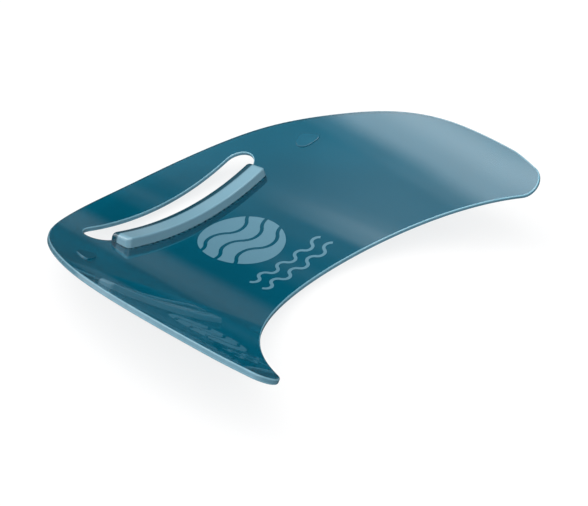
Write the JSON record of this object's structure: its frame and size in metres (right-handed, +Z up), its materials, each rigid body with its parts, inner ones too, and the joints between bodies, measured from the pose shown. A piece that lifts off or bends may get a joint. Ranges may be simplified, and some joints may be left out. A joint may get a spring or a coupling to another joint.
{
  "type": "underwater wing board",
  "caption": "Hand-held underwater wing: crescent sheet of tinted clear plastic bent upwards, with a hand slot near the nose and a clear grip on the slot's rear edge.",
  "frame": {"origin": "under the middle of the outline, on the plane that the lower grip half touches", "axes": "+X to the right wing tip, +Y to the leading edge (nose), +Z up out of the hollow side"},
  "size_m": [0.557, 0.4951, 0.1224],
  "materials": {
    "tinted_sheet": "polished, tinted teal, transparent",
    "clear_grip": "clear moulded plastic",
    "clear_pad": "clear soft plastic",
    "screw_steel": "stainless",
    "print": "frosted light print"
  },
  "bodies": {
    "root": {"wing_plate": "tinted_sheet", "grip_upper": "clear_grip", "grip_lower": "clear_grip", "grip_screws": "screw_steel", "pad_left": "clear_pad", "pad_right": "clear_pad", "emblem_film": "print", "band_film": "print"}
  },
  "joints": []
}
